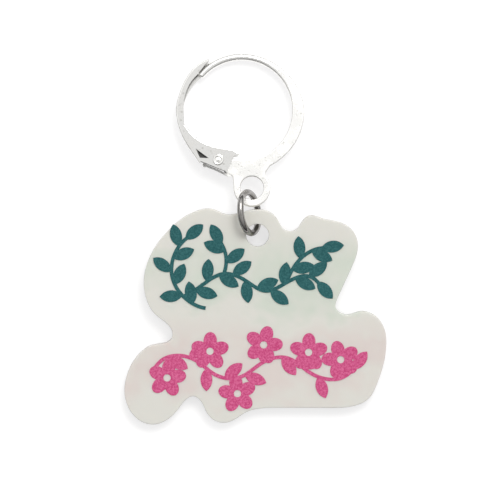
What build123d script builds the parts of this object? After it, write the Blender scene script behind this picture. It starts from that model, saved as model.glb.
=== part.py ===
from build123d import *
import os
from math import asin, cos, degrees, radians, sin, sqrt

# Stitch marker: a lever-back hoop, a jump ring and an acrylic charm, lying face up on a table.
# Millimetres, +Z up. Seen from straight above, +X is right and +Y is up the picture.
# The origin is on the table, under the middle of the marker.

# Hoop frame: one piece of wire, flattened to a band, with a base plate, an eyelet and a spring tongue
hoop_bore = 11.0
wire_diameter = 0.8
wire_tip_angle = 141.0           # degrees around the bore from +X, at the wire's free end
wire_tip_radius = 0.25
round_until_angle = 70.0
round_corner_share = 0.48        # of the wire, the corner radius of its round stretch
flatten_power = 1.5              # how late the wire widens into the band
flat_from_angle = 0.0
band_end_angle = -50.0
band_sections = 15
band_width = 1.38
band_edge_radius = 0.15
neck_radius_share = 0.146        # of the eyelet's radius
tab_radius = 0.72                # the base plate's round end, between the lever's cheeks
eyelet_drop = 3.02               # from the bore's lowest point to the eyelet's middle
eyelet_diameter = 4.1
eyelet_hole = 2.5
tongue_thickness = 0.2
tongue_curl_radius = 0.2

# Lever: a folded sheet channel that straddles the wire and the base plate
sheet = 0.22
side_clearance = 0.06            # from a cheek to the wire and to the base plate
fold_radius = 0.16
rim_radius = 0.15
seam_width = 0.14
seam_depth = 0.1
seam_length = 0.6
seam_angle = 30.0

# Hinge rivet
rivet_diameter = 0.7
rivet_clearance = 0.04
collar_diameter = 1.2
collar_height = 0.16
groove_height = 0.05
dome_diameter = 0.66
dome_height = 0.14

# Jump ring
ring_diameter = 5.2
ring_wire = 0.72
ring_turn = 65.0                 # degrees that the ring's plane stands up from the table
ring_lean = 7.0                  # degrees that its long axis leans to the left
ring_seam = 1.2                  # degrees left open where the wire's ends meet
ring_seam_place = 250.0          # degrees round the ring from its upper end
link_gap = 0.245                 # from the eyelet to the charm's upper edge
eyelet_slack_share = 0.3845      # of the play in the ring, the part at the eyelet
ring_clearance = 0.11            # from the ring's lower limb to each plate that lies over it
eyelet_offset = 0.27             # right of the ring's middle
charm_offset = 0.88

# Charm: a milky acrylic plate, printed with two inks
charm_width = 28.6
charm_height = 23.6
charm_thickness = 1.5
charm_hole = 2.48
charm_edge_radius = 0.07

# Prints: a leafy vine above and a blossoming vine below
ink_thickness = 0.05
stem_width = 0.4
leaf_length = 2.5
leaf_width = 1.3
leaf_turn = 50.0                 # degrees between a leaf and its stem
petal_count = 5
petal_length = 1.9
petal_width = 1.45
petal_reach = 1.15               # from a blossom's middle to the middle of a petal
blossom_lift = 1.7               # from the vine to a blossom's middle
eye_diameter = 0.8

# One overrun serves all cuts
overrun = 0.5

# Outlines on the hoop, as shares of the bore's radius, from the bore's middle
rivet_share = (-0.466, -0.994)
eyelet_across_share = 0.203
base_bore_angle = -63.0
base_plate_shares = [
    (0.250, -0.972), (-0.190, -0.980), (-0.466, -0.920), (-0.466, -1.060),
]
tongue_shares = [(-0.735, -1.090), (-0.600, -1.143), (-0.440, -1.213)]
# Outlines of the neck and of the tongue's root, as shares of the eyelet's radius, from its middle
neck_shares = [
    (-1.389, 0.771), (-1.042, 0.634), (-0.987, 0.132), (0.000, -0.137), (0.743, 0.185),
    (0.743, 0.829),
]
tongue_root_shares = [(-1.296, 0.695), (-1.100, 0.640)]
lever_back_shares = [
    (-0.640, 1.026), (-0.901, 0.892), (-1.104, 0.648), (-1.245, 0.323), (-1.308, 0.030),
    (-1.287, -0.205), (-1.186, -0.512), (-1.022, -0.795), (-0.839, -1.060),
]
cheek_foot_shares = [
    (-0.839, -1.060), (-0.809, -1.018), (-0.322, -1.215), (-0.300, -1.235), (-0.171, -0.960),
    (-0.165, -0.915), (-0.080, -0.905), (-0.046, -0.857),
]
cheek_rim_shares = [
    (-0.046, -0.857), (-0.209, -0.775), (-0.454, -0.735), (-0.799, -0.612), (-1.064, -0.368),
]
cheek_waist_shares = [(-1.064, -0.368), (-1.143, -0.267), (-1.158, 0.110)]
front_mouth_shares = [(-1.158, 0.110), (-1.125, 0.290), (-1.032, 0.526), (-0.882, 0.703)]
back_mouth_shares = [
    (-1.158, 0.110), (-1.110, 0.270), (-1.045, 0.390), (-0.920, 0.560), (-0.780, 0.690),
]
mouth_cut_shares = [(-0.640, 1.026), (0.000, 1.200), (0.000, 0.110)]
channel_shares = [(0.100, -1.400), (0.100, 1.200)]
window_shares = [(-0.912, -0.769), (-0.653, -0.960), (-0.829, -0.952)]
seam_share = (-1.225, 0.100)

# Outline of the charm, as shares of its width and height, from its lower left corner
charm_crown_shares = [
    (0.708, 0.968), (0.684, 0.950), (0.659, 0.908), (0.634, 0.895), (0.606, 0.908), (0.584, 0.950),
    (0.560, 0.981), (0.524, 0.995), (0.468, 0.990), (0.435, 0.979), (0.404, 0.973), (0.378, 0.977),
    (0.354, 0.990), (0.326, 1.000), (0.277, 0.990),
]
charm_brow_shares = [
    (0.224, 0.958), (0.168, 0.899), (0.117, 0.822), (0.083, 0.732), (0.074, 0.655), (0.085, 0.578),
    (0.113, 0.517), (0.156, 0.475), (0.181, 0.436), (0.181, 0.402), (0.156, 0.379), (0.106, 0.368),
    (0.057, 0.329), (0.016, 0.252), (0.000, 0.165),
]
charm_foot_shares = [
    (0.019, 0.069), (0.060, 0.017), (0.110, 0.000), (0.163, 0.022), (0.205, 0.071), (0.237, 0.118),
    (0.262, 0.131), (0.287, 0.115), (0.315, 0.053), (0.352, 0.014), (0.390, 0.009), (0.425, 0.026),
    (0.462, 0.055), (0.500, 0.071), (0.540, 0.077), (0.581, 0.078), (0.660, 0.078), (0.740, 0.078),
]
charm_tail_shares = [
    (0.821, 0.078), (0.885, 0.089), (0.935, 0.123), (0.963, 0.183), (0.992, 0.294), (1.000, 0.380),
    (0.994, 0.440), (0.970, 0.490), (0.931, 0.520), (0.900, 0.524), (0.857, 0.509), (0.821, 0.520),
    (0.806, 0.546), (0.811, 0.578),
]
charm_flank_shares = [
    (0.833, 0.638), (0.856, 0.698), (0.878, 0.758), (0.891, 0.818), (0.885, 0.870), (0.864, 0.908),
    (0.829, 0.934), (0.790, 0.946), (0.749, 0.957),
]
charm_hole_share = (0.508, 0.877)
charm_upper_share = 0.995        # the crown's height above the hole
charm_middle_share = 0.5

# Vines and blossoms on the charm, as shares of its width and height
teal_frond_shares = [
    (0.310, 0.540), (0.225, 0.595), (0.182, 0.690), (0.192, 0.790), (0.245, 0.870),
]
teal_vine_shares = [
    (0.225, 0.595), (0.300, 0.650), (0.380, 0.700), (0.460, 0.670), (0.540, 0.620), (0.620, 0.660),
    (0.690, 0.690), (0.745, 0.650),
]
teal_bud_shares = [(0.380, 0.700), (0.388, 0.780), (0.365, 0.850)]
teal_twig_shares = [(0.620, 0.660), (0.655, 0.745), (0.705, 0.800), (0.765, 0.820)]
pink_vine_shares = [
    (0.110, 0.250), (0.190, 0.320), (0.270, 0.300), (0.350, 0.230), (0.440, 0.220), (0.530, 0.290),
    (0.620, 0.310), (0.710, 0.240), (0.800, 0.210), (0.880, 0.270),
]
blossom_shares = [0.000, 0.240, 0.410, 0.580, 0.720, 0.985]  # along the vine
blossom_sides = [-1, 1, -1, 1, 1, 1]                        # below or above the vine


def hoop_points(shares):
    """Places on the hoop from shares of the bore's radius."""
    return [(x * hoop_radius, y * hoop_radius) for x, y in shares]


def charm_points(shares):
    """Places on the charm from shares of its size, counted from its hole."""
    hole_x, hole_y = charm_hole_share
    return [((x - hole_x) * charm_width, (y - hole_y) * charm_height) for x, y in shares]


def eyelet_points(shares):
    """Places on the hoop from shares of the eyelet's radius, counted from its middle."""
    return [(eyelet_x + x * eyelet_radius, eyelet_y + y * eyelet_radius) for x, y in shares]


def limb_height(reach):
    """Height of the inner side of the ring's lower limb, a distance along the ring from its middle."""
    return ring_z - sqrt(ring_inner_radius**2 - reach**2) * sin(radians(ring_turn))


# Sizes that follow from the ones above
hoop_radius = hoop_bore / 2
half_wire = wire_diameter / 2
half_gap = half_wire + side_clearance
half_lever = half_gap + sheet
rivet_x, rivet_y = hoop_points([rivet_share])[0]
eyelet_x = eyelet_across_share * hoop_radius
eyelet_radius = eyelet_diameter / 2
eyelet_y = -hoop_radius - eyelet_drop
lever_tip_y = hoop_points(lever_back_shares)[0][1]
lever_back_x, lever_back_y = hoop_points(lever_back_shares)[4]
rim_x, rim_y = hoop_points(cheek_rim_shares)[2]
web_points = [
    Vector(x, y) * (1 - sheet / sqrt(x**2 + y**2)) for x, y in hoop_points(lever_back_shares)
]
ring_radius = (ring_diameter - ring_wire) / 2
ring_inner_radius = ring_radius - ring_wire / 2
ring_z = ring_radius * sin(radians(ring_turn)) + ring_wire / 2

# The eyelet and the charm lie over the ring's lower limb, and their far ends lie on the table
eyelet_band = eyelet_radius - eyelet_hole / 2
charm_band = (charm_upper_share - charm_hole_share[1]) * charm_height - charm_hole / 2
ring_play = 2 * ring_inner_radius - eyelet_band - link_gap - charm_band
eyelet_reach = ring_inner_radius - eyelet_slack_share * ring_play
charm_reach = ring_inner_radius - (1 - eyelet_slack_share) * ring_play
eyelet_low_y = eyelet_y - eyelet_hole / 2
eyelet_z = limb_height(eyelet_reach) + ring_clearance + half_wire
hoop_tilt = asin((eyelet_z - half_lever) / (lever_tip_y - eyelet_low_y))
charm_z = limb_height(charm_reach) + ring_clearance
charm_drop = charm_hole_share[1] * charm_height
charm_tilt = asin(charm_z / charm_drop)

# The middle of the marker, from its top at the wire to its foot at the charm, is over the origin
hoop_rise = eyelet_reach - eyelet_low_y * cos(hoop_tilt)
marker_top = hoop_rise + (hoop_radius + wire_diameter) * cos(hoop_tilt)
charm_fall = charm_reach + charm_hole / 2
marker_foot = -charm_fall - charm_drop * cos(charm_tilt)
ring_x = (charm_hole_share[0] - charm_middle_share) * charm_width - charm_offset
ring_y = -(marker_top + marker_foot) / 2

# The hoop's plane is its middle plane, through the bore's middle
hoop_plane = Plane(
    origin=(
        ring_x + eyelet_offset - eyelet_x,
        ring_y + hoop_rise,
        eyelet_z + eyelet_low_y * sin(hoop_tilt),
    ),
    x_dir=(1, 0, 0),
    z_dir=(0, sin(hoop_tilt), cos(hoop_tilt)),
)
rivet_plane = Plane(
    origin=hoop_plane.from_local_coords((rivet_x, rivet_y, 0)),
    x_dir=hoop_plane.x_dir,
    z_dir=-hoop_plane.y_dir,
)
rivet_axis = Axis(rivet_plane.origin, hoop_plane.z_dir)
# The ring's plane holds its long axis as local X
ring_plane = Plane(
    origin=(ring_x, ring_y, ring_z),
    x_dir=(-sin(radians(ring_lean)), cos(radians(ring_lean)), 0),
    z_dir=(
        sin(radians(ring_turn)) * cos(radians(ring_lean)),
        sin(radians(ring_turn)) * sin(radians(ring_lean)),
        cos(radians(ring_turn)),
    ),
)
# The charm's plane is its back face, through the middle of its hole
charm_plane = Plane(
    origin=(ring_x + charm_offset, ring_y - charm_fall, charm_z),
    x_dir=(1, 0, 0),
    z_dir=(0, -sin(charm_tilt), cos(charm_tilt)),
)


def band_shape(angle):
    """Width and corner radius of the hoop's section at an angle round the bore."""
    flat_share = (round_until_angle - angle) / (round_until_angle - flat_from_angle)
    flat_share = min(max(flat_share, 0), 1)
    width = wire_diameter + (band_width - wire_diameter) * flat_share**flatten_power
    round_radius = round_corner_share * wire_diameter
    return width, round_radius + (band_edge_radius - round_radius) * flat_share


def band_plane(angle, width):
    """Plane across the hoop's wire, with local X pointing away from the bore."""
    out = Vector(cos(radians(angle)), sin(radians(angle)), 0)
    middle = out * (hoop_radius + width / 2)
    out_dir = hoop_plane.from_local_coords(out) - hoop_plane.origin
    return Plane(
        origin=hoop_plane.from_local_coords(middle),
        x_dir=out_dir,
        z_dir=hoop_plane.z_dir.cross(out_dir),
    )


def leafy_stem(stem_shares, leaf_count):
    """A stem with leaves on alternate sides, and one more at its end."""
    with BuildSketch() as leaf:
        with BuildLine():
            SagittaArc((0, 0), (leaf_length, 0), leaf_width / 2)
            SagittaArc((leaf_length, 0), (0, 0), leaf_width / 2)
        make_face()
    with BuildSketch() as sprig:
        with BuildLine():
            stem = Spline(*charm_points(stem_shares))
        trace(line_width=stem_width)
        for index in range(leaf_count):
            along = (index + 1) / (leaf_count + 1)
            turn = leaf_turn if index % 2 else -leaf_turn
            bud = stem @ along
            heading = stem.tangent_angle_at(along)
            with Locations(Location((bud.X, bud.Y), heading + turn)):
                add(leaf.sketch)
        # The end leaf starts just inside the stem
        last = 1 - stem_width / stem.length
        bud = stem @ last
        with Locations(Location((bud.X, bud.Y), stem.tangent_angle_at(last))):
            add(leaf.sketch)
    return sprig.sketch


def blossom_places():
    """Each blossom's middle, set off from the vine, with one petal turned to the vine."""
    with BuildLine():
        vine = Spline(*charm_points(pink_vine_shares))
    places = []
    for along, side in zip(blossom_shares, blossom_sides):
        heading = vine % along
        away = Vector(-heading.Y, heading.X) * side
        middle = vine @ along + away * blossom_lift
        places.append(Location((middle.X, middle.Y), away.get_signed_angle(Vector(-1, 0))))
    return places


def blossom():
    """An open blossom, with its petals joined in the middle."""
    with BuildSketch() as flower:
        with PolarLocations(petal_reach, petal_count):
            Ellipse(petal_length / 2, petal_width / 2)
        Circle(petal_reach)
    return flower.sketch


with BuildPart() as hoop_frame:
    # Ear wire: round at its tip, flattening to the band
    for index in range(band_sections):
        turn = (band_end_angle - wire_tip_angle) * index / (band_sections - 1)
        width, corner_radius = band_shape(wire_tip_angle + turn)
        with BuildSketch(band_plane(wire_tip_angle + turn, width)):
            RectangleRounded(width, wire_diameter, corner_radius)
    loft()
    tip_faces = hoop_frame.faces().sort_by_distance(
        band_plane(wire_tip_angle, wire_diameter).origin
    )
    fillet(tip_faces[0].edges(), wire_tip_radius)

with BuildPart() as base_plate:
    # Last stretch of band, base plate, eyelet and the plate's round end behind the cheeks
    with BuildSketch(hoop_plane.offset(-half_wire)):
        with BuildLine():
            base_arc = base_bore_angle - band_end_angle
            inner = CenterArc((0, 0), hoop_radius, band_end_angle, base_arc)
            outer = CenterArc((0, 0), hoop_radius + band_width, band_end_angle, base_arc)
            Line(inner @ 0, outer @ 0)
            Polyline(
                inner @ 1,
                *hoop_points(base_plate_shares),
                *eyelet_points(neck_shares),
                outer @ 1,
            )
        make_face()
        with Locations((rivet_x, rivet_y)):
            Circle(tab_radius)
        with Locations((eyelet_x, eyelet_y)):
            Circle(eyelet_radius)
        neck_corners = vertices().filter_by_position(Axis.Y, eyelet_low_y, rivet_y - tab_radius)
        fillet(neck_corners, neck_radius_share * eyelet_radius)
        with Locations((eyelet_x, eyelet_y)):
            Circle(eyelet_hole / 2, mode=Mode.SUBTRACT)
    extrude(amount=wire_diameter)
    joint_face = base_plate.faces().sort_by_distance(
        band_plane(band_end_angle, band_width).origin
    )[0]
    flat_faces = base_plate.faces().filter_by(hoop_plane)
    rim_edges = (flat_faces.edges() - joint_face.edges()).sort_by(Axis.X)
    fillet(rim_edges, band_edge_radius)

with hoop_frame:
    add(base_plate.part)
    # Spring tongue, from the base plate's lower edge to its curled end under the lever's heel
    with BuildSketch(hoop_plane.offset(-half_wire)):
        with BuildLine():
            Spline(*hoop_points(tongue_shares), *eyelet_points(tongue_root_shares))
        trace(line_width=tongue_thickness)
        with Locations(hoop_points(tongue_shares)[0]):
            Circle(tongue_curl_radius)
    extrude(amount=wire_diameter)
    # Hole for the rivet
    with Locations(hoop_plane * Location((rivet_x, rivet_y, 0))):
        Cylinder(rivet_diameter / 2, wire_diameter + 2 * overrun, mode=Mode.SUBTRACT)
hoop_frame.part.label = "hoop_frame"

with BuildPart() as lever:
    # Blank with the back cheek's outline, as wide as the lever
    with BuildSketch(hoop_plane.offset(-half_lever)):
        with BuildLine():
            Spline(*hoop_points(lever_back_shares))
            Polyline(*hoop_points(cheek_foot_shares))
            Spline(*hoop_points(cheek_rim_shares))
            Polyline(*hoop_points(cheek_waist_shares))
            mouth = Spline(*hoop_points(back_mouth_shares))
            Line(mouth @ 1, hoop_points(lever_back_shares)[0])
        make_face()
    extrude(amount=2 * half_lever)
    # Rounded folds along the web, and rounded rims along the cheeks' inner edges
    for low in (-half_lever, half_lever):
        fold_point = hoop_plane.from_local_coords((lever_back_x, lever_back_y, low))
        fillet(lever.edges().sort_by_distance(fold_point)[0], fold_radius)
        rim_point = hoop_plane.from_local_coords((rim_x, rim_y, low))
        fillet(lever.edges().sort_by_distance(rim_point)[0], rim_radius)
    # Front cheek, cut back further at the mouth
    with BuildSketch(hoop_plane.offset(-half_gap)):
        with BuildLine():
            mouth = Spline(*hoop_points(front_mouth_shares))
            Polyline(mouth @ 1, *hoop_points(mouth_cut_shares), mouth @ 0)
        make_face()
    extrude(amount=half_gap + half_lever + overrun, mode=Mode.SUBTRACT)
    # Channel between the cheeks, closed by the web along the back
    with BuildSketch(hoop_plane.offset(-half_gap)):
        with BuildLine():
            web = Spline(*web_points)
            web_top = web @ 0 - (web % 0) * overrun
            web_end = web @ 1 + (web % 1) * overrun
            Polyline(web @ 1, web_end, *hoop_points(channel_shares), web_top, web @ 0)
        make_face()
    extrude(amount=2 * half_gap, mode=Mode.SUBTRACT)
    # Window between the web and the front cheek
    with BuildSketch(hoop_plane.offset(half_gap)):
        with BuildLine():
            Polyline(*hoop_points(window_shares), close=True)
        make_face()
    extrude(amount=sheet + overrun, mode=Mode.SUBTRACT)
    # Seam across the front cheek
    with BuildSketch(hoop_plane.offset(half_lever)):
        with Locations(Location(hoop_points([seam_share])[0], seam_angle)):
            Rectangle(seam_length, seam_width)
    extrude(amount=-seam_depth, mode=Mode.SUBTRACT)
    # Holes for the rivet
    with Locations(hoop_plane * Location((rivet_x, rivet_y, 0))):
        Cylinder(
            rivet_diameter / 2 + rivet_clearance, 2 * (half_lever + overrun), mode=Mode.SUBTRACT
        )
lever.part.label = "lever"

# Hinge rivet: a shank with a rolled collar and a domed middle at each end
head_base = half_lever + rivet_clearance
dome_rise = dome_height - groove_height
dome_radius = ((dome_diameter / 2) ** 2 + dome_rise**2) / (2 * dome_rise)
with BuildPart() as hinge_rivet:
    with BuildSketch(rivet_plane):
        with BuildLine():
            Polyline(
                (rivet_diameter / 2, 0),
                (rivet_diameter / 2, head_base),
                (collar_diameter / 2, head_base),
            )
            ThreePointArc(
                (collar_diameter / 2, head_base),
                ((collar_diameter + dome_diameter) / 4, head_base + collar_height),
                (dome_diameter / 2, head_base + groove_height),
            )
            RadiusArc(
                (dome_diameter / 2, head_base + groove_height),
                (0, head_base + dome_height),
                -dome_radius,
            )
            mirror(about=Plane.XZ)
            Line((0, head_base + dome_height), (0, -head_base - dome_height))
        make_face()
    revolve(axis=rivet_axis)
hinge_rivet.part.label = "hinge_rivet"

# Jump ring: round wire, butted at its seam
with BuildPart(ring_plane) as jump_ring:
    Torus(
        ring_radius,
        ring_wire / 2,
        major_angle=360 - ring_seam,
        rotation=(0, 0, ring_seam_place),
    )
jump_ring.part.label = "jump_ring"

# Charm plate: the cut outline, with one hole
with BuildPart() as charm_plate:
    with BuildSketch(charm_plane):
        with BuildLine():
            outline_shares = (
                charm_crown_shares
                + charm_brow_shares
                + charm_foot_shares
                + charm_tail_shares
                + charm_flank_shares
            )
            Spline(*charm_points(outline_shares), periodic=True)
        make_face()
        Circle(charm_hole / 2, mode=Mode.SUBTRACT)
    extrude(amount=charm_thickness)
    fillet(charm_plate.faces().filter_by(charm_plane).edges(), charm_edge_radius)
charm_plate.part.label = "charm_plate"

# Prints: two inks on the charm's front face
ink_plane = charm_plane.offset(charm_thickness)
teal_sprigs = [
    leafy_stem(teal_frond_shares, 6),
    leafy_stem(teal_vine_shares, 10),
    leafy_stem(teal_bud_shares, 2),
    leafy_stem(teal_twig_shares, 3),
]
with BuildPart() as teal_print:
    with BuildSketch(ink_plane):
        for sprig in teal_sprigs:
            add(sprig)
    extrude(amount=ink_thickness)
teal_print.part.label = "teal_print"

pink_vine = leafy_stem(pink_vine_shares, 10)
pink_places = blossom_places()
pink_blossom = blossom()
with BuildPart() as pink_print:
    with BuildSketch(ink_plane):
        add(pink_vine)
        with Locations(*pink_places):
            add(pink_blossom)
            Circle(eye_diameter / 2, mode=Mode.SUBTRACT)
    extrude(amount=ink_thickness)
pink_print.part.label = "pink_print"

os.makedirs("parts", exist_ok=True)
for piece in (
    hoop_frame, lever, hinge_rivet, jump_ring, charm_plate, teal_print, pink_print,
):
    export_step(piece.part, f"parts/{piece.part.label}.step")
    print(piece.part.label, len(piece.part.solids()), round(piece.part.volume, 3))
print("hoop tilt", degrees(hoop_tilt), "charm tilt", degrees(charm_tilt))
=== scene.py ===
# %% [markdown]
# # A stitch marker, dressed for its picture
# A stitch marker clips round one knitted or crocheted stitch, so that the place can be found again.
# This one is a silver-plated lever-back hoop, a small steel jump ring and a printed acrylic charm.
# The shapes come from the CAD model. Here they get a camera, a table, light and real finishes.

# %% Load the CAD model as a fixed frame
import bmesh
import bpy
import math
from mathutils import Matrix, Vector


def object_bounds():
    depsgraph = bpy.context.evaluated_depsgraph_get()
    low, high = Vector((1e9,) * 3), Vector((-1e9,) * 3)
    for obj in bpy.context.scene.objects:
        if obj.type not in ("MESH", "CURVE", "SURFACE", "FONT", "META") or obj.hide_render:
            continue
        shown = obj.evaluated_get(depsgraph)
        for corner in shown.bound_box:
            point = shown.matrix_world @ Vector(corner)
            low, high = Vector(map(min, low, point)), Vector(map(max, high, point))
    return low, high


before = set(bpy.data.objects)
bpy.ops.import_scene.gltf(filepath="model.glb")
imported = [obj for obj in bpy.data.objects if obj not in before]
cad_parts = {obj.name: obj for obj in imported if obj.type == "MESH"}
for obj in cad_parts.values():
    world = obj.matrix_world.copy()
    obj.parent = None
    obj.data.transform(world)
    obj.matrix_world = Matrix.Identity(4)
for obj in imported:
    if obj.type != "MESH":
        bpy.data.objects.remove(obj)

cad_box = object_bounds()
print("CAD nodes:", ", ".join(sorted(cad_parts)))
print("CAD box:", [[round(value, 5) for value in corner] for corner in cad_box])

# %% [markdown]
# ## The camera
# The picture was taken from straight above, as product pictures of flat things often are.
# A long lens from half a metre away keeps the hoop and the charm at one scale.
# The half metre is a guess. The focal length follows from it and from the picture's width.

# %% Set the camera above the marker
millimetre = 0.001
picture_width = 54.8 * millimetre
picture_middle = Vector((-0.586, -1.266, 0)) * millimetre
camera_height = 0.5
camera_data = bpy.data.cameras.new("picture_camera")
camera_data.sensor_width = 36
camera_data.lens = camera_data.sensor_width * camera_height / picture_width
camera_data.clip_start = 0.01
camera = bpy.data.objects.new("picture_camera", camera_data)
camera.location = picture_middle + Vector((0, 0, camera_height))
bpy.context.collection.objects.link(camera)
bpy.context.scene.camera = camera
bpy.context.scene.view_settings.view_transform = "Standard"
print("focal length:", round(camera_data.lens, 1), "mm")

# %% [markdown]
# ## A helper for shader nodes
# Every finish is a small graph of nodes. One helper adds a node and fills in its settings by name,
# so that each material below reads like a list of what the finish is made of.

# %% Add a node and set its sockets by name
def add_node(tree, kind, **settings):
    node = tree.nodes.new("ShaderNode" + kind)
    for name, value in settings.items():
        socket = node.inputs.get(name.replace("_", " ").title())
        if socket is None:
            setattr(node, name, value)
        else:
            socket.default_value = value
    return node


def new_material(name):
    material = bpy.data.materials.new(name)
    material.use_nodes = True
    material.node_tree.nodes.clear()
    return material, material.node_tree


def fill_ramp(ramp, stops):
    for place, colour in stops:
        ramp.elements.new(place).color = (*colour, 1)
    for spare in (ramp.elements[-1], ramp.elements[0]):
        ramp.elements.remove(spare)


print("helpers ready")

# %% [markdown]
# ## The table
# The marker lies on a white table that is lit almost to white, so only the closest shadows show.
# A matt white gives the shadows. A little glow, which only the camera and shiny surfaces see,
# lifts the open table to pure white without putting more light on the marker.

# %% Make the table top
table_gap = 0.02 * millimetre
table_half_width = 0.8
table_shade = 0.42
table_glow = 0.65
table_mesh = bpy.data.meshes.new("table_top")
build = bmesh.new()
bmesh.ops.create_grid(build, x_segments=1, y_segments=1, size=table_half_width)
bmesh.ops.translate(build, verts=build.verts, vec=(0, 0, cad_box[0][2] - table_gap))
build.to_mesh(table_mesh)
build.free()
table_top = bpy.data.objects.new("table_top", table_mesh)
bpy.context.collection.objects.link(table_top)

table_white, tree = new_material("table_white")
matt = add_node(tree, "BsdfDiffuse", color=(table_shade, table_shade, table_shade, 1))
glow = add_node(tree, "Emission", color=(1.0, 0.995, 1.0, 1))
rays = add_node(tree, "LightPath")
seen = add_node(tree, "Math", operation="MAXIMUM")
seen_or_through = add_node(tree, "Math", operation="MAXIMUM")
lift = add_node(tree, "Math", operation="MULTIPLY")
lift.inputs[1].default_value = table_glow
both = add_node(tree, "AddShader")
surface = add_node(tree, "OutputMaterial")
tree.links.new(rays.outputs["Is Camera Ray"], seen.inputs[0])
tree.links.new(rays.outputs["Is Glossy Ray"], seen.inputs[1])
tree.links.new(seen.outputs[0], seen_or_through.inputs[0])
tree.links.new(rays.outputs["Is Transmission Ray"], seen_or_through.inputs[1])
tree.links.new(seen_or_through.outputs[0], lift.inputs[0])
tree.links.new(lift.outputs[0], glow.inputs["Strength"])
tree.links.new(matt.outputs[0], both.inputs[0])
tree.links.new(glow.outputs[0], both.inputs[1])
tree.links.new(both.outputs[0], surface.inputs["Surface"])
table_mesh.materials.append(table_white)
print("table top at z =", round(table_top.bound_box[0][2] * 1000, 3), "mm")

# %% [markdown]
# ## The room
# Polished metal shows little of its own colour: it shows the room. Overhead is a darker patch,
# the camera and the hands that hold it. Round that is the bright ceiling, and the walls are
# darker towards the table. The wall away from the window is the darkest. That draws the dark
# line along the wire's inner edge.

# %% Paint the room as bands of brightness by height
room = bpy.data.worlds.new("white_room")
room.use_nodes = True
bpy.context.scene.world = room
tree = room.node_tree
tree.nodes.clear()
direction = add_node(tree, "TexCoord")
height = add_node(tree, "SeparateXYZ")
bands = add_node(tree, "ValToRGB")
room_bands = (
    (0.0, 0.1), (0.2, 0.18), (0.4, 0.55), (0.6, 0.9),
    (0.9, 1.0), (0.955, 0.86), (0.985, 0.66),
)
blue_share = 0.99
fill_ramp(
    bands.color_ramp,
    [(place, (shade, shade, shade * blue_share)) for place, shade in room_bands])
room_light = add_node(tree, "Background")
window_side = add_node(tree, "VectorMath", operation="DOT_PRODUCT")
window_wall = (0.15, 0.98, 0)
window_side.inputs[1].default_value = window_wall
wall_spread = 0.8
far_wall, near_wall = 0.36, 1.62
side_shade = add_node(
    tree, "MapRange",
    from_min=-wall_spread, from_max=wall_spread, to_min=far_wall, to_max=near_wall)
white_behind = add_node(tree, "Background", color=(1, 1, 1, 1), strength=1.0)
rays = add_node(tree, "LightPath")
choose = add_node(tree, "MixShader")
surface = add_node(tree, "OutputWorld")
tree.links.new(direction.outputs["Generated"], height.inputs[0])
tree.links.new(height.outputs["Z"], bands.inputs["Fac"])
tree.links.new(bands.outputs["Color"], room_light.inputs["Color"])
tree.links.new(direction.outputs["Generated"], window_side.inputs[0])
tree.links.new(window_side.outputs["Value"], side_shade.inputs["Value"])
tree.links.new(side_shade.outputs["Result"], room_light.inputs["Strength"])
tree.links.new(rays.outputs["Is Camera Ray"], choose.inputs["Fac"])
tree.links.new(room_light.outputs[0], choose.inputs[1])
tree.links.new(white_behind.outputs[0], choose.inputs[2])
tree.links.new(choose.outputs[0], surface.inputs["Surface"])
print("room bands:", len(bands.color_ramp.elements))

# %% [markdown]
# ## The window light
# The faint shadows fall down and to the left, so one soft light stands above and to the right.
# A sun lamp with a wide disc is a simple way to get that: its strength doesn't change with
# distance.

# %% Add one wide soft light
window_data = bpy.data.lights.new("window_light", "SUN")
window_data.energy = 1.3
window_data.angle = math.radians(26)
window_data.color = (1.0, 0.99, 0.975)
window_light = bpy.data.objects.new("window_light", window_data)
towards_window = Vector((0.26, 0.62, 0.9))
window_light.rotation_euler = towards_window.to_track_quat("Z", "Y").to_euler()
bpy.context.collection.objects.link(window_light)
print("light comes from", [round(value, 2) for value in towards_window.normalized()])

# %% [markdown]
# ## The skin of plated and polished metal
# Cheap plated findings are never perfect mirrors: the plating has a sandy grain, small pits and
# cloudy patches where it was handled. All the metal parts share this effect, each with its own
# values, so it is made once as a node group. It puts out a colour, a roughness and a height
# for bumps.

# %% Build the metal skin group
def new_group(name, inputs, outputs):
    group = bpy.data.node_groups.new(name, "ShaderNodeTree")
    for socket_name, kind in inputs:
        group.interface.new_socket(socket_name, in_out="INPUT", socket_type="NodeSocket" + kind)
    for socket_name, kind in outputs:
        group.interface.new_socket(socket_name, in_out="OUTPUT", socket_type="NodeSocket" + kind)
    return group, group.nodes.new("NodeGroupInput"), group.nodes.new("NodeGroupOutput")


metal_skin, given, made = new_group(
    "metal_skin",
    (("Point", "Vector"), ("Clean", "Color"), ("Clouded", "Color"), ("Grains Per Metre", "Float"),
     ("Pits Per Metre", "Float"), ("Pit Depth", "Float"), ("Polish", "Float"), ("Haze", "Float")),
    (("Color", "Color"), ("Roughness", "Float"), ("Height", "Float")))
grain = add_node(metal_skin, "TexNoise", detail=3.0, roughness=0.6)
pits = add_node(metal_skin, "TexVoronoi", randomness=1.0)
pit_mask = add_node(metal_skin, "MapRange", from_min=0.08, from_max=0.26, to_min=1.0, to_max=0.0)
clouds = add_node(metal_skin, "TexNoise", scale=420.0, detail=4.0, roughness=0.62)
cloud_mask = add_node(metal_skin, "MapRange", from_min=0.44, from_max=0.66)
colour = add_node(metal_skin, "Mix", data_type="RGBA")
pit_colour = add_node(metal_skin, "Mix", data_type="RGBA", blend_type="MULTIPLY")
gloss = add_node(metal_skin, "Mix", data_type="FLOAT")
sunk = add_node(metal_skin, "Math", operation="MULTIPLY")
surface_height = add_node(metal_skin, "Math", operation="SUBTRACT")
pit_shade = (0.62, 0.61, 0.58)
pit_colour.inputs["B"].default_value = (*pit_shade, 1)
joined = metal_skin.links.new
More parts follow.
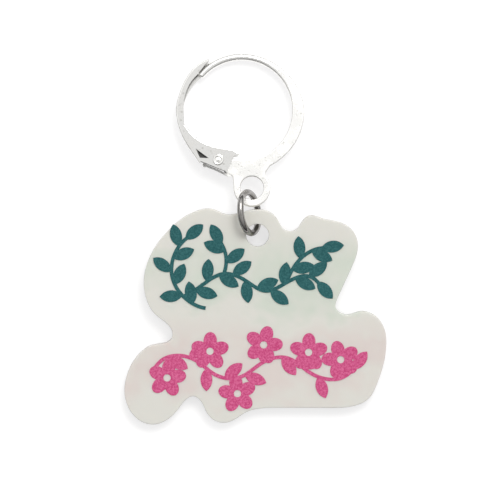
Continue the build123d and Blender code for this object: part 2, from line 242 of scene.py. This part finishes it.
for texture in (grain, pits, clouds):
    joined(given.outputs["Point"], texture.inputs["Vector"])
joined(given.outputs["Grains Per Metre"], grain.inputs["Scale"])
joined(given.outputs["Pits Per Metre"], pits.inputs["Scale"])
joined(pits.outputs["Distance"], pit_mask.inputs["Value"])
joined(clouds.outputs["Fac"], cloud_mask.inputs["Value"])
joined(cloud_mask.outputs["Result"], colour.inputs["Factor"])
joined(given.outputs["Clean"], colour.inputs["A"])
joined(given.outputs["Clouded"], colour.inputs["B"])
joined(pit_mask.outputs["Result"], sunk.inputs[0])
joined(given.outputs["Pit Depth"], sunk.inputs[1])
joined(sunk.outputs[0], pit_colour.inputs["Factor"])
joined(colour.outputs["Result"], pit_colour.inputs["A"])
joined(cloud_mask.outputs["Result"], gloss.inputs["Factor"])
joined(given.outputs["Polish"], gloss.inputs["A"])
joined(given.outputs["Haze"], gloss.inputs["B"])
joined(grain.outputs["Fac"], surface_height.inputs[0])
joined(sunk.outputs[0], surface_height.inputs[1])
joined(pit_colour.outputs["Result"], made.inputs["Color"])
joined(gloss.outputs["Result"], made.inputs["Roughness"])
joined(surface_height.outputs[0], made.inputs["Height"])
print("metal skin nodes:", len(metal_skin.nodes))

# %% [markdown]
# ## The metal finishes
# Four parts are metal. The hoop and the lever are silver-plated: the hoop is sandy and pale, and
# the stamped lever is smoother, so it mirrors the darker room. The rivet is the same plating
# rubbed bright. The jump ring is plain polished steel, which looks dark grey beside silver.

# %% Make one metal from the skin and its own values
def make_metal(name, clean, clouded, grains, pits, pit_depth, polish, haze, relief):
    material, tree = new_material(name)
    point = add_node(tree, "TexCoord")
    skin = tree.nodes.new("ShaderNodeGroup")
    skin.node_tree = metal_skin
    skin.inputs["Clean"].default_value = (*clean, 1)
    skin.inputs["Clouded"].default_value = (*clouded, 1)
    skin.inputs["Grains Per Metre"].default_value = grains
    skin.inputs["Pits Per Metre"].default_value = pits
    skin.inputs["Pit Depth"].default_value = pit_depth
    skin.inputs["Polish"].default_value = polish
    skin.inputs["Haze"].default_value = haze
    bumps = add_node(tree, "Bump", strength=1.0, distance=relief)
    metal = add_node(tree, "BsdfPrincipled", metallic=1.0)
    surface = add_node(tree, "OutputMaterial")
    tree.links.new(point.outputs["Object"], skin.inputs["Point"])
    tree.links.new(skin.outputs["Color"], metal.inputs["Base Color"])
    tree.links.new(skin.outputs["Roughness"], metal.inputs["Roughness"])
    tree.links.new(skin.outputs["Height"], bumps.inputs["Height"])
    tree.links.new(bumps.outputs["Normal"], metal.inputs["Normal"])
    tree.links.new(metal.outputs[0], surface.inputs["Surface"])
    return material


silver = (0.97, 0.965, 0.95)
hoop_silver = make_metal(
    "hoop_silver", clean=silver, clouded=(0.95, 0.94, 0.915), grains=13000, pits=2300,
    pit_depth=0.5, polish=0.24, haze=0.34, relief=0.0045 * millimetre)
lever_silver = make_metal(
    "lever_silver", clean=silver, clouded=(0.8, 0.79, 0.77), grains=9000, pits=1500,
    pit_depth=0.5, polish=0.12, haze=0.24, relief=0.0014 * millimetre)
rivet_silver = make_metal(
    "rivet_silver", clean=silver, clouded=(0.9, 0.89, 0.86), grains=9000, pits=2400,
    pit_depth=0.25, polish=0.09, haze=0.14, relief=0.001 * millimetre)
ring_steel = make_metal(
    "ring_steel", clean=(0.38, 0.37, 0.36), clouded=(0.27, 0.26, 0.25), grains=6000, pits=1500,
    pit_depth=0.3, polish=0.1, haze=0.18, relief=0.0015 * millimetre)
print("metals:", [m.name for m in (hoop_silver, lever_silver, rivet_silver, ring_steel)])

# %% [markdown]
# ## Painted shade on two of the metals
# Two small places are painted darker than the rest of their part, as shade: the slot at the hoop's
# spring tongue and the channel inside the lever. Each gets a round mask, full in its core and gone
# at its edge.

# %% Find a metal's nodes and mask a round place
def open_metal(material):
    found = {node.type: node for node in material.node_tree.nodes}
    return material.node_tree, found["GROUP"], found["BSDF_PRINCIPLED"], found["TEX_COORD"]


def mask_round(tree, point, middle, core, edge):
    away = add_node(tree, "VectorMath", operation="DISTANCE")
    away.inputs[1].default_value = middle
    mask = add_node(tree, "MapRange", from_min=core, from_max=edge, to_min=1.0, to_max=0.0)
    tree.links.new(point.outputs["Object"], away.inputs[0])
    tree.links.new(away.outputs["Value"], mask.inputs["Value"])
    return mask


print("mask helpers ready")

# %% [markdown]
# ## Painted shade at the spring tongue
# Under the lever's heel the hoop ends in a thin spring tongue, with a narrow slot between them.
# The shade in that slot is painted into the hoop's colour as a dark patch broken into fine cross
# lines. The mask keeps the painted shade in that slot and fades it out along the base plate.

# %% Paint shade with cross lines into the hoop's tongue slot
tree, skin, metal, point = open_metal(hoop_silver)
tongue_middle = Vector((-4.9, 7.35, 1.0)) * millimetre
tongue_shade_mask = mask_round(tree, point, tongue_middle, 1.75 * millimetre, 2.2 * millimetre)
stripe_turn = math.radians(20)
turned = add_node(tree, "Mapping")
turned.inputs["Rotation"].default_value = (0, 0, stripe_turn)
shade_stripes = add_node(tree, "TexWave", scale=1900.0, distortion=0.6)
stripe_shade = add_node(tree, "MapRange", to_min=0.1, to_max=0.5)
# Painted shade: near the tongue the colour is multiplied down in cross lines, standing in for the
# shade in the slot.
painted_shade = add_node(tree, "Mix", data_type="RGBA", blend_type="MULTIPLY")
tree.links.new(point.outputs["Object"], turned.inputs["Vector"])
tree.links.new(turned.outputs[0], shade_stripes.inputs["Vector"])
tree.links.new(shade_stripes.outputs["Fac"], stripe_shade.inputs["Value"])
tree.links.new(tongue_shade_mask.outputs["Result"], painted_shade.inputs["Factor"])
tree.links.new(skin.outputs["Color"], painted_shade.inputs["A"])
tree.links.new(stripe_shade.outputs["Result"], painted_shade.inputs["B"])
tree.links.new(painted_shade.outputs["Result"], metal.inputs["Base Color"])
print("tongue mask round", [round(value * 1000, 2) for value in tongue_middle], "mm")

# %% [markdown]
# ## Painted shade inside the lever
# The inside of the lever's folded channel lies in shade. It is seen only through the small window
# beside the hinge, where it should look dark, so painted shade under a small mask there is enough.

# %% Paint shade into the channel behind the lever's window
tree, skin, metal, point = open_metal(lever_silver)
window_middle = Vector((-5.85, 9.05, 1.05)) * millimetre
window_shade_mask = mask_round(tree, point, window_middle, 0.62 * millimetre, 0.75 * millimetre)
# Painted shade: the channel's colour is multiplied down to this level, standing in for the shade
# inside it.
channel_shade = 0.12
painted_shade = add_node(tree, "Mix", data_type="RGBA", blend_type="MULTIPLY")
painted_shade.inputs["B"].default_value = (channel_shade, channel_shade, channel_shade, 1)
tree.links.new(window_shade_mask.outputs["Result"], painted_shade.inputs["Factor"])
tree.links.new(skin.outputs["Color"], painted_shade.inputs["A"])
tree.links.new(painted_shade.outputs["Result"], metal.inputs["Base Color"])
print("window mask round", [round(value * 1000, 2) for value in window_middle], "mm")

# %% [markdown]
# ## The milky acrylic
# The charm is cut by a laser from cast acrylic with a milky, satin sheet surface. Light goes a
# little way in and comes out again, so it is a subsurface material. The light and shade that the
# inks colour inside the plate are painted into its colour as a faint halo, green above and pink
# below. The cut edge shows fine upright lines, one for each pulse of the laser.

# %% Make the acrylic with its painted halo of ink light and its cut edge
charm_acrylic, tree = new_material("charm_acrylic")
point = add_node(tree, "TexCoord")
along = add_node(tree, "SeparateXYZ")
milk_white = (0.68, 0.67, 0.625)
# Painted light and shade: the green and pink halos stand in for light that the inks colour and
# shade inside the plate.
painted_green_halo = (0.6, 0.64, 0.57)
painted_pink_halo = (0.67, 0.605, 0.575)
plate_foot, plate_top = -20.5 * millimetre, 3.5 * millimetre
wander = add_node(tree, "Math", operation="MULTIPLY_ADD")
wander_reach = 9 * millimetre
wander.inputs[1].default_value = wander_reach
wandered = add_node(tree, "Math", operation="SUBTRACT")
wandered.inputs[1].default_value = wander_reach / 2
up_the_plate = add_node(tree, "MapRange", from_min=plate_foot, from_max=plate_top)
painted_ink_halos = add_node(tree, "ValToRGB")
halo_places = (
    (-19.0, milk_white), (-16.0, painted_pink_halo), (-10.5, painted_pink_halo), (-8.8, milk_white),
    (-7.2, painted_green_halo), (-1.5, painted_green_halo), (0.6, milk_white),
)
fill_ramp(
    painted_ink_halos.color_ramp,
    [((y * millimetre - plate_foot) / (plate_top - plate_foot), tint) for y, tint in halo_places])
drift = add_node(tree, "TexNoise", scale=260.0, detail=2.0, roughness=0.5)
halo_drift_mask = add_node(tree, "MapRange", from_min=0.3, from_max=0.6)
milk_and_halo = add_node(tree, "Mix", data_type="RGBA")
milk_and_halo.inputs["A"].default_value = (*milk_white, 1)
orange_peel = add_node(tree, "TexNoise", scale=1500.0, detail=2.0)
satin = add_node(tree, "MapRange", from_min=0.3, from_max=0.7, to_min=0.3, to_max=0.42)
acrylic = add_node(
    tree, "BsdfPrincipled", subsurface_weight=0.35, subsurface_scale=1.0 * millimetre)
acrylic.inputs["Subsurface Radius"].default_value = (1.0, 0.95, 0.85)
acrylic.inputs["IOR"].default_value = 1.49
surface = add_node(tree, "OutputMaterial")
joined = tree.links.new
joined(point.outputs["Object"], along.inputs[0])
joined(drift.outputs["Fac"], wander.inputs[0])
joined(along.outputs["Y"], wander.inputs[2])
joined(wander.outputs[0], wandered.inputs[0])
joined(wandered.outputs[0], up_the_plate.inputs["Value"])
joined(up_the_plate.outputs["Result"], painted_ink_halos.inputs["Fac"])
joined(point.outputs["Object"], drift.inputs["Vector"])
joined(drift.outputs["Fac"], halo_drift_mask.inputs["Value"])
joined(halo_drift_mask.outputs["Result"], milk_and_halo.inputs["Factor"])
joined(painted_ink_halos.outputs["Color"], milk_and_halo.inputs["B"])
joined(milk_and_halo.outputs["Result"], acrylic.inputs["Base Color"])
joined(point.outputs["Object"], orange_peel.inputs["Vector"])
joined(orange_peel.outputs["Fac"], satin.inputs["Value"])
joined(satin.outputs["Result"], acrylic.inputs["Roughness"])
joined(acrylic.outputs[0], surface.inputs["Surface"])
print("acrylic nodes:", len(tree.nodes))

# %% Give the cut edge its laser lines
pulse = add_node(tree, "Mapping")
line_squeeze = 0.03
pulse.inputs["Scale"].default_value = (1, 1, line_squeeze)
lines = add_node(tree, "TexNoise", scale=7000.0, detail=1.0)
facing = add_node(tree, "SeparateXYZ")
upright = add_node(tree, "MapRange", from_min=0.2, from_max=0.7, to_min=1.0, to_max=0.0)
steep = add_node(tree, "Math", operation="ABSOLUTE")
cut_lines = add_node(tree, "Math", operation="MULTIPLY")
cut_bumps = add_node(tree, "Bump", strength=1.0, distance=0.012 * millimetre)
joined(point.outputs["Object"], pulse.inputs["Vector"])
joined(pulse.outputs[0], lines.inputs["Vector"])
joined(point.outputs["Normal"], facing.inputs[0])
joined(facing.outputs["Z"], steep.inputs[0])
joined(steep.outputs[0], upright.inputs["Value"])
joined(lines.outputs["Fac"], cut_lines.inputs[0])
joined(upright.outputs["Result"], cut_lines.inputs[1])
joined(cut_lines.outputs[0], cut_bumps.inputs["Height"])
joined(cut_bumps.outputs["Normal"], acrylic.inputs["Normal"])
print("acrylic nodes with the cut edge:", len(tree.nodes))

# %% [markdown]
# ## The printed inks
# The vines are printed in thick ultraviolet-cured ink, which stands up a little and sets with a
# fine, grainy surface. Both inks share that grain, so it is a group, and each ink brings its own
# two colours.

# %% Build the ink grain group
ink_grain, given, made = new_group(
    "ink_grain",
    (("Point", "Vector"), ("Deep", "Color"), ("Light", "Color"), ("Dots Per Metre", "Float")),
    (("Color", "Color"), ("Roughness", "Float"), ("Height", "Float")))
dots = add_node(ink_grain, "TexNoise", detail=2.0, roughness=0.7)
dot_mask = add_node(ink_grain, "MapRange", from_min=0.4, from_max=0.64)
colour = add_node(ink_grain, "Mix", data_type="RGBA")
dry = add_node(ink_grain, "MapRange", from_min=0.3, from_max=0.7, to_min=0.5, to_max=0.8)
joined = ink_grain.links.new
joined(given.outputs["Point"], dots.inputs["Vector"])
joined(given.outputs["Dots Per Metre"], dots.inputs["Scale"])
joined(dots.outputs["Fac"], dot_mask.inputs["Value"])
joined(dot_mask.outputs["Result"], colour.inputs["Factor"])
joined(given.outputs["Deep"], colour.inputs["A"])
joined(given.outputs["Light"], colour.inputs["B"])
joined(dots.outputs["Fac"], dry.inputs["Value"])
joined(colour.outputs["Result"], made.inputs["Color"])
joined(dry.outputs["Result"], made.inputs["Roughness"])
joined(dots.outputs["Fac"], made.inputs["Height"])
print("ink grain nodes:", len(ink_grain.nodes))

# %% Make the two inks
def make_ink(name, deep, light):
    material, tree = new_material(name)
    point = add_node(tree, "TexCoord")
    grains = tree.nodes.new("ShaderNodeGroup")
    grains.node_tree = ink_grain
    grains.inputs["Deep"].default_value = (*deep, 1)
    grains.inputs["Light"].default_value = (*light, 1)
    grains.inputs["Dots Per Metre"].default_value = 5200
    bumps = add_node(tree, "Bump", strength=1.0, distance=0.02 * millimetre)
    ink = add_node(tree, "BsdfPrincipled")
    ink.inputs["Specular IOR Level"].default_value = 0.3
    surface = add_node(tree, "OutputMaterial")
    tree.links.new(point.outputs["Object"], grains.inputs["Point"])
    tree.links.new(grains.outputs["Color"], ink.inputs["Base Color"])
    tree.links.new(grains.outputs["Roughness"], ink.inputs["Roughness"])
    tree.links.new(grains.outputs["Height"], bumps.inputs["Height"])
    tree.links.new(bumps.outputs["Normal"], ink.inputs["Normal"])
    tree.links.new(ink.outputs[0], surface.inputs["Surface"])
    return material


teal_ink = make_ink("teal_ink", (0.004, 0.075, 0.08), (0.03, 0.135, 0.14))
pink_ink = make_ink("pink_ink", (0.5, 0.045, 0.17), (0.66, 0.14, 0.3))
print("inks:", teal_ink.name, pink_ink.name)

# %% [markdown]
# ## Dress the parts
# Each CAD part keeps its shape and its place, and only its material slots change.

# %% Put each finish on its part
finishes = {
    "hoop_frame": hoop_silver,
    "lever": lever_silver,
    "hinge_rivet": rivet_silver,
    "jump_ring": ring_steel,
    "charm_plate": charm_acrylic,
    "teal_print": teal_ink,
    "pink_print": pink_ink,
}
for part, finish in finishes.items():
    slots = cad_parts[part].material_slots
    for slot in slots:
        slot.material = finish
    print(part, "<-", finish.name, len(slots))
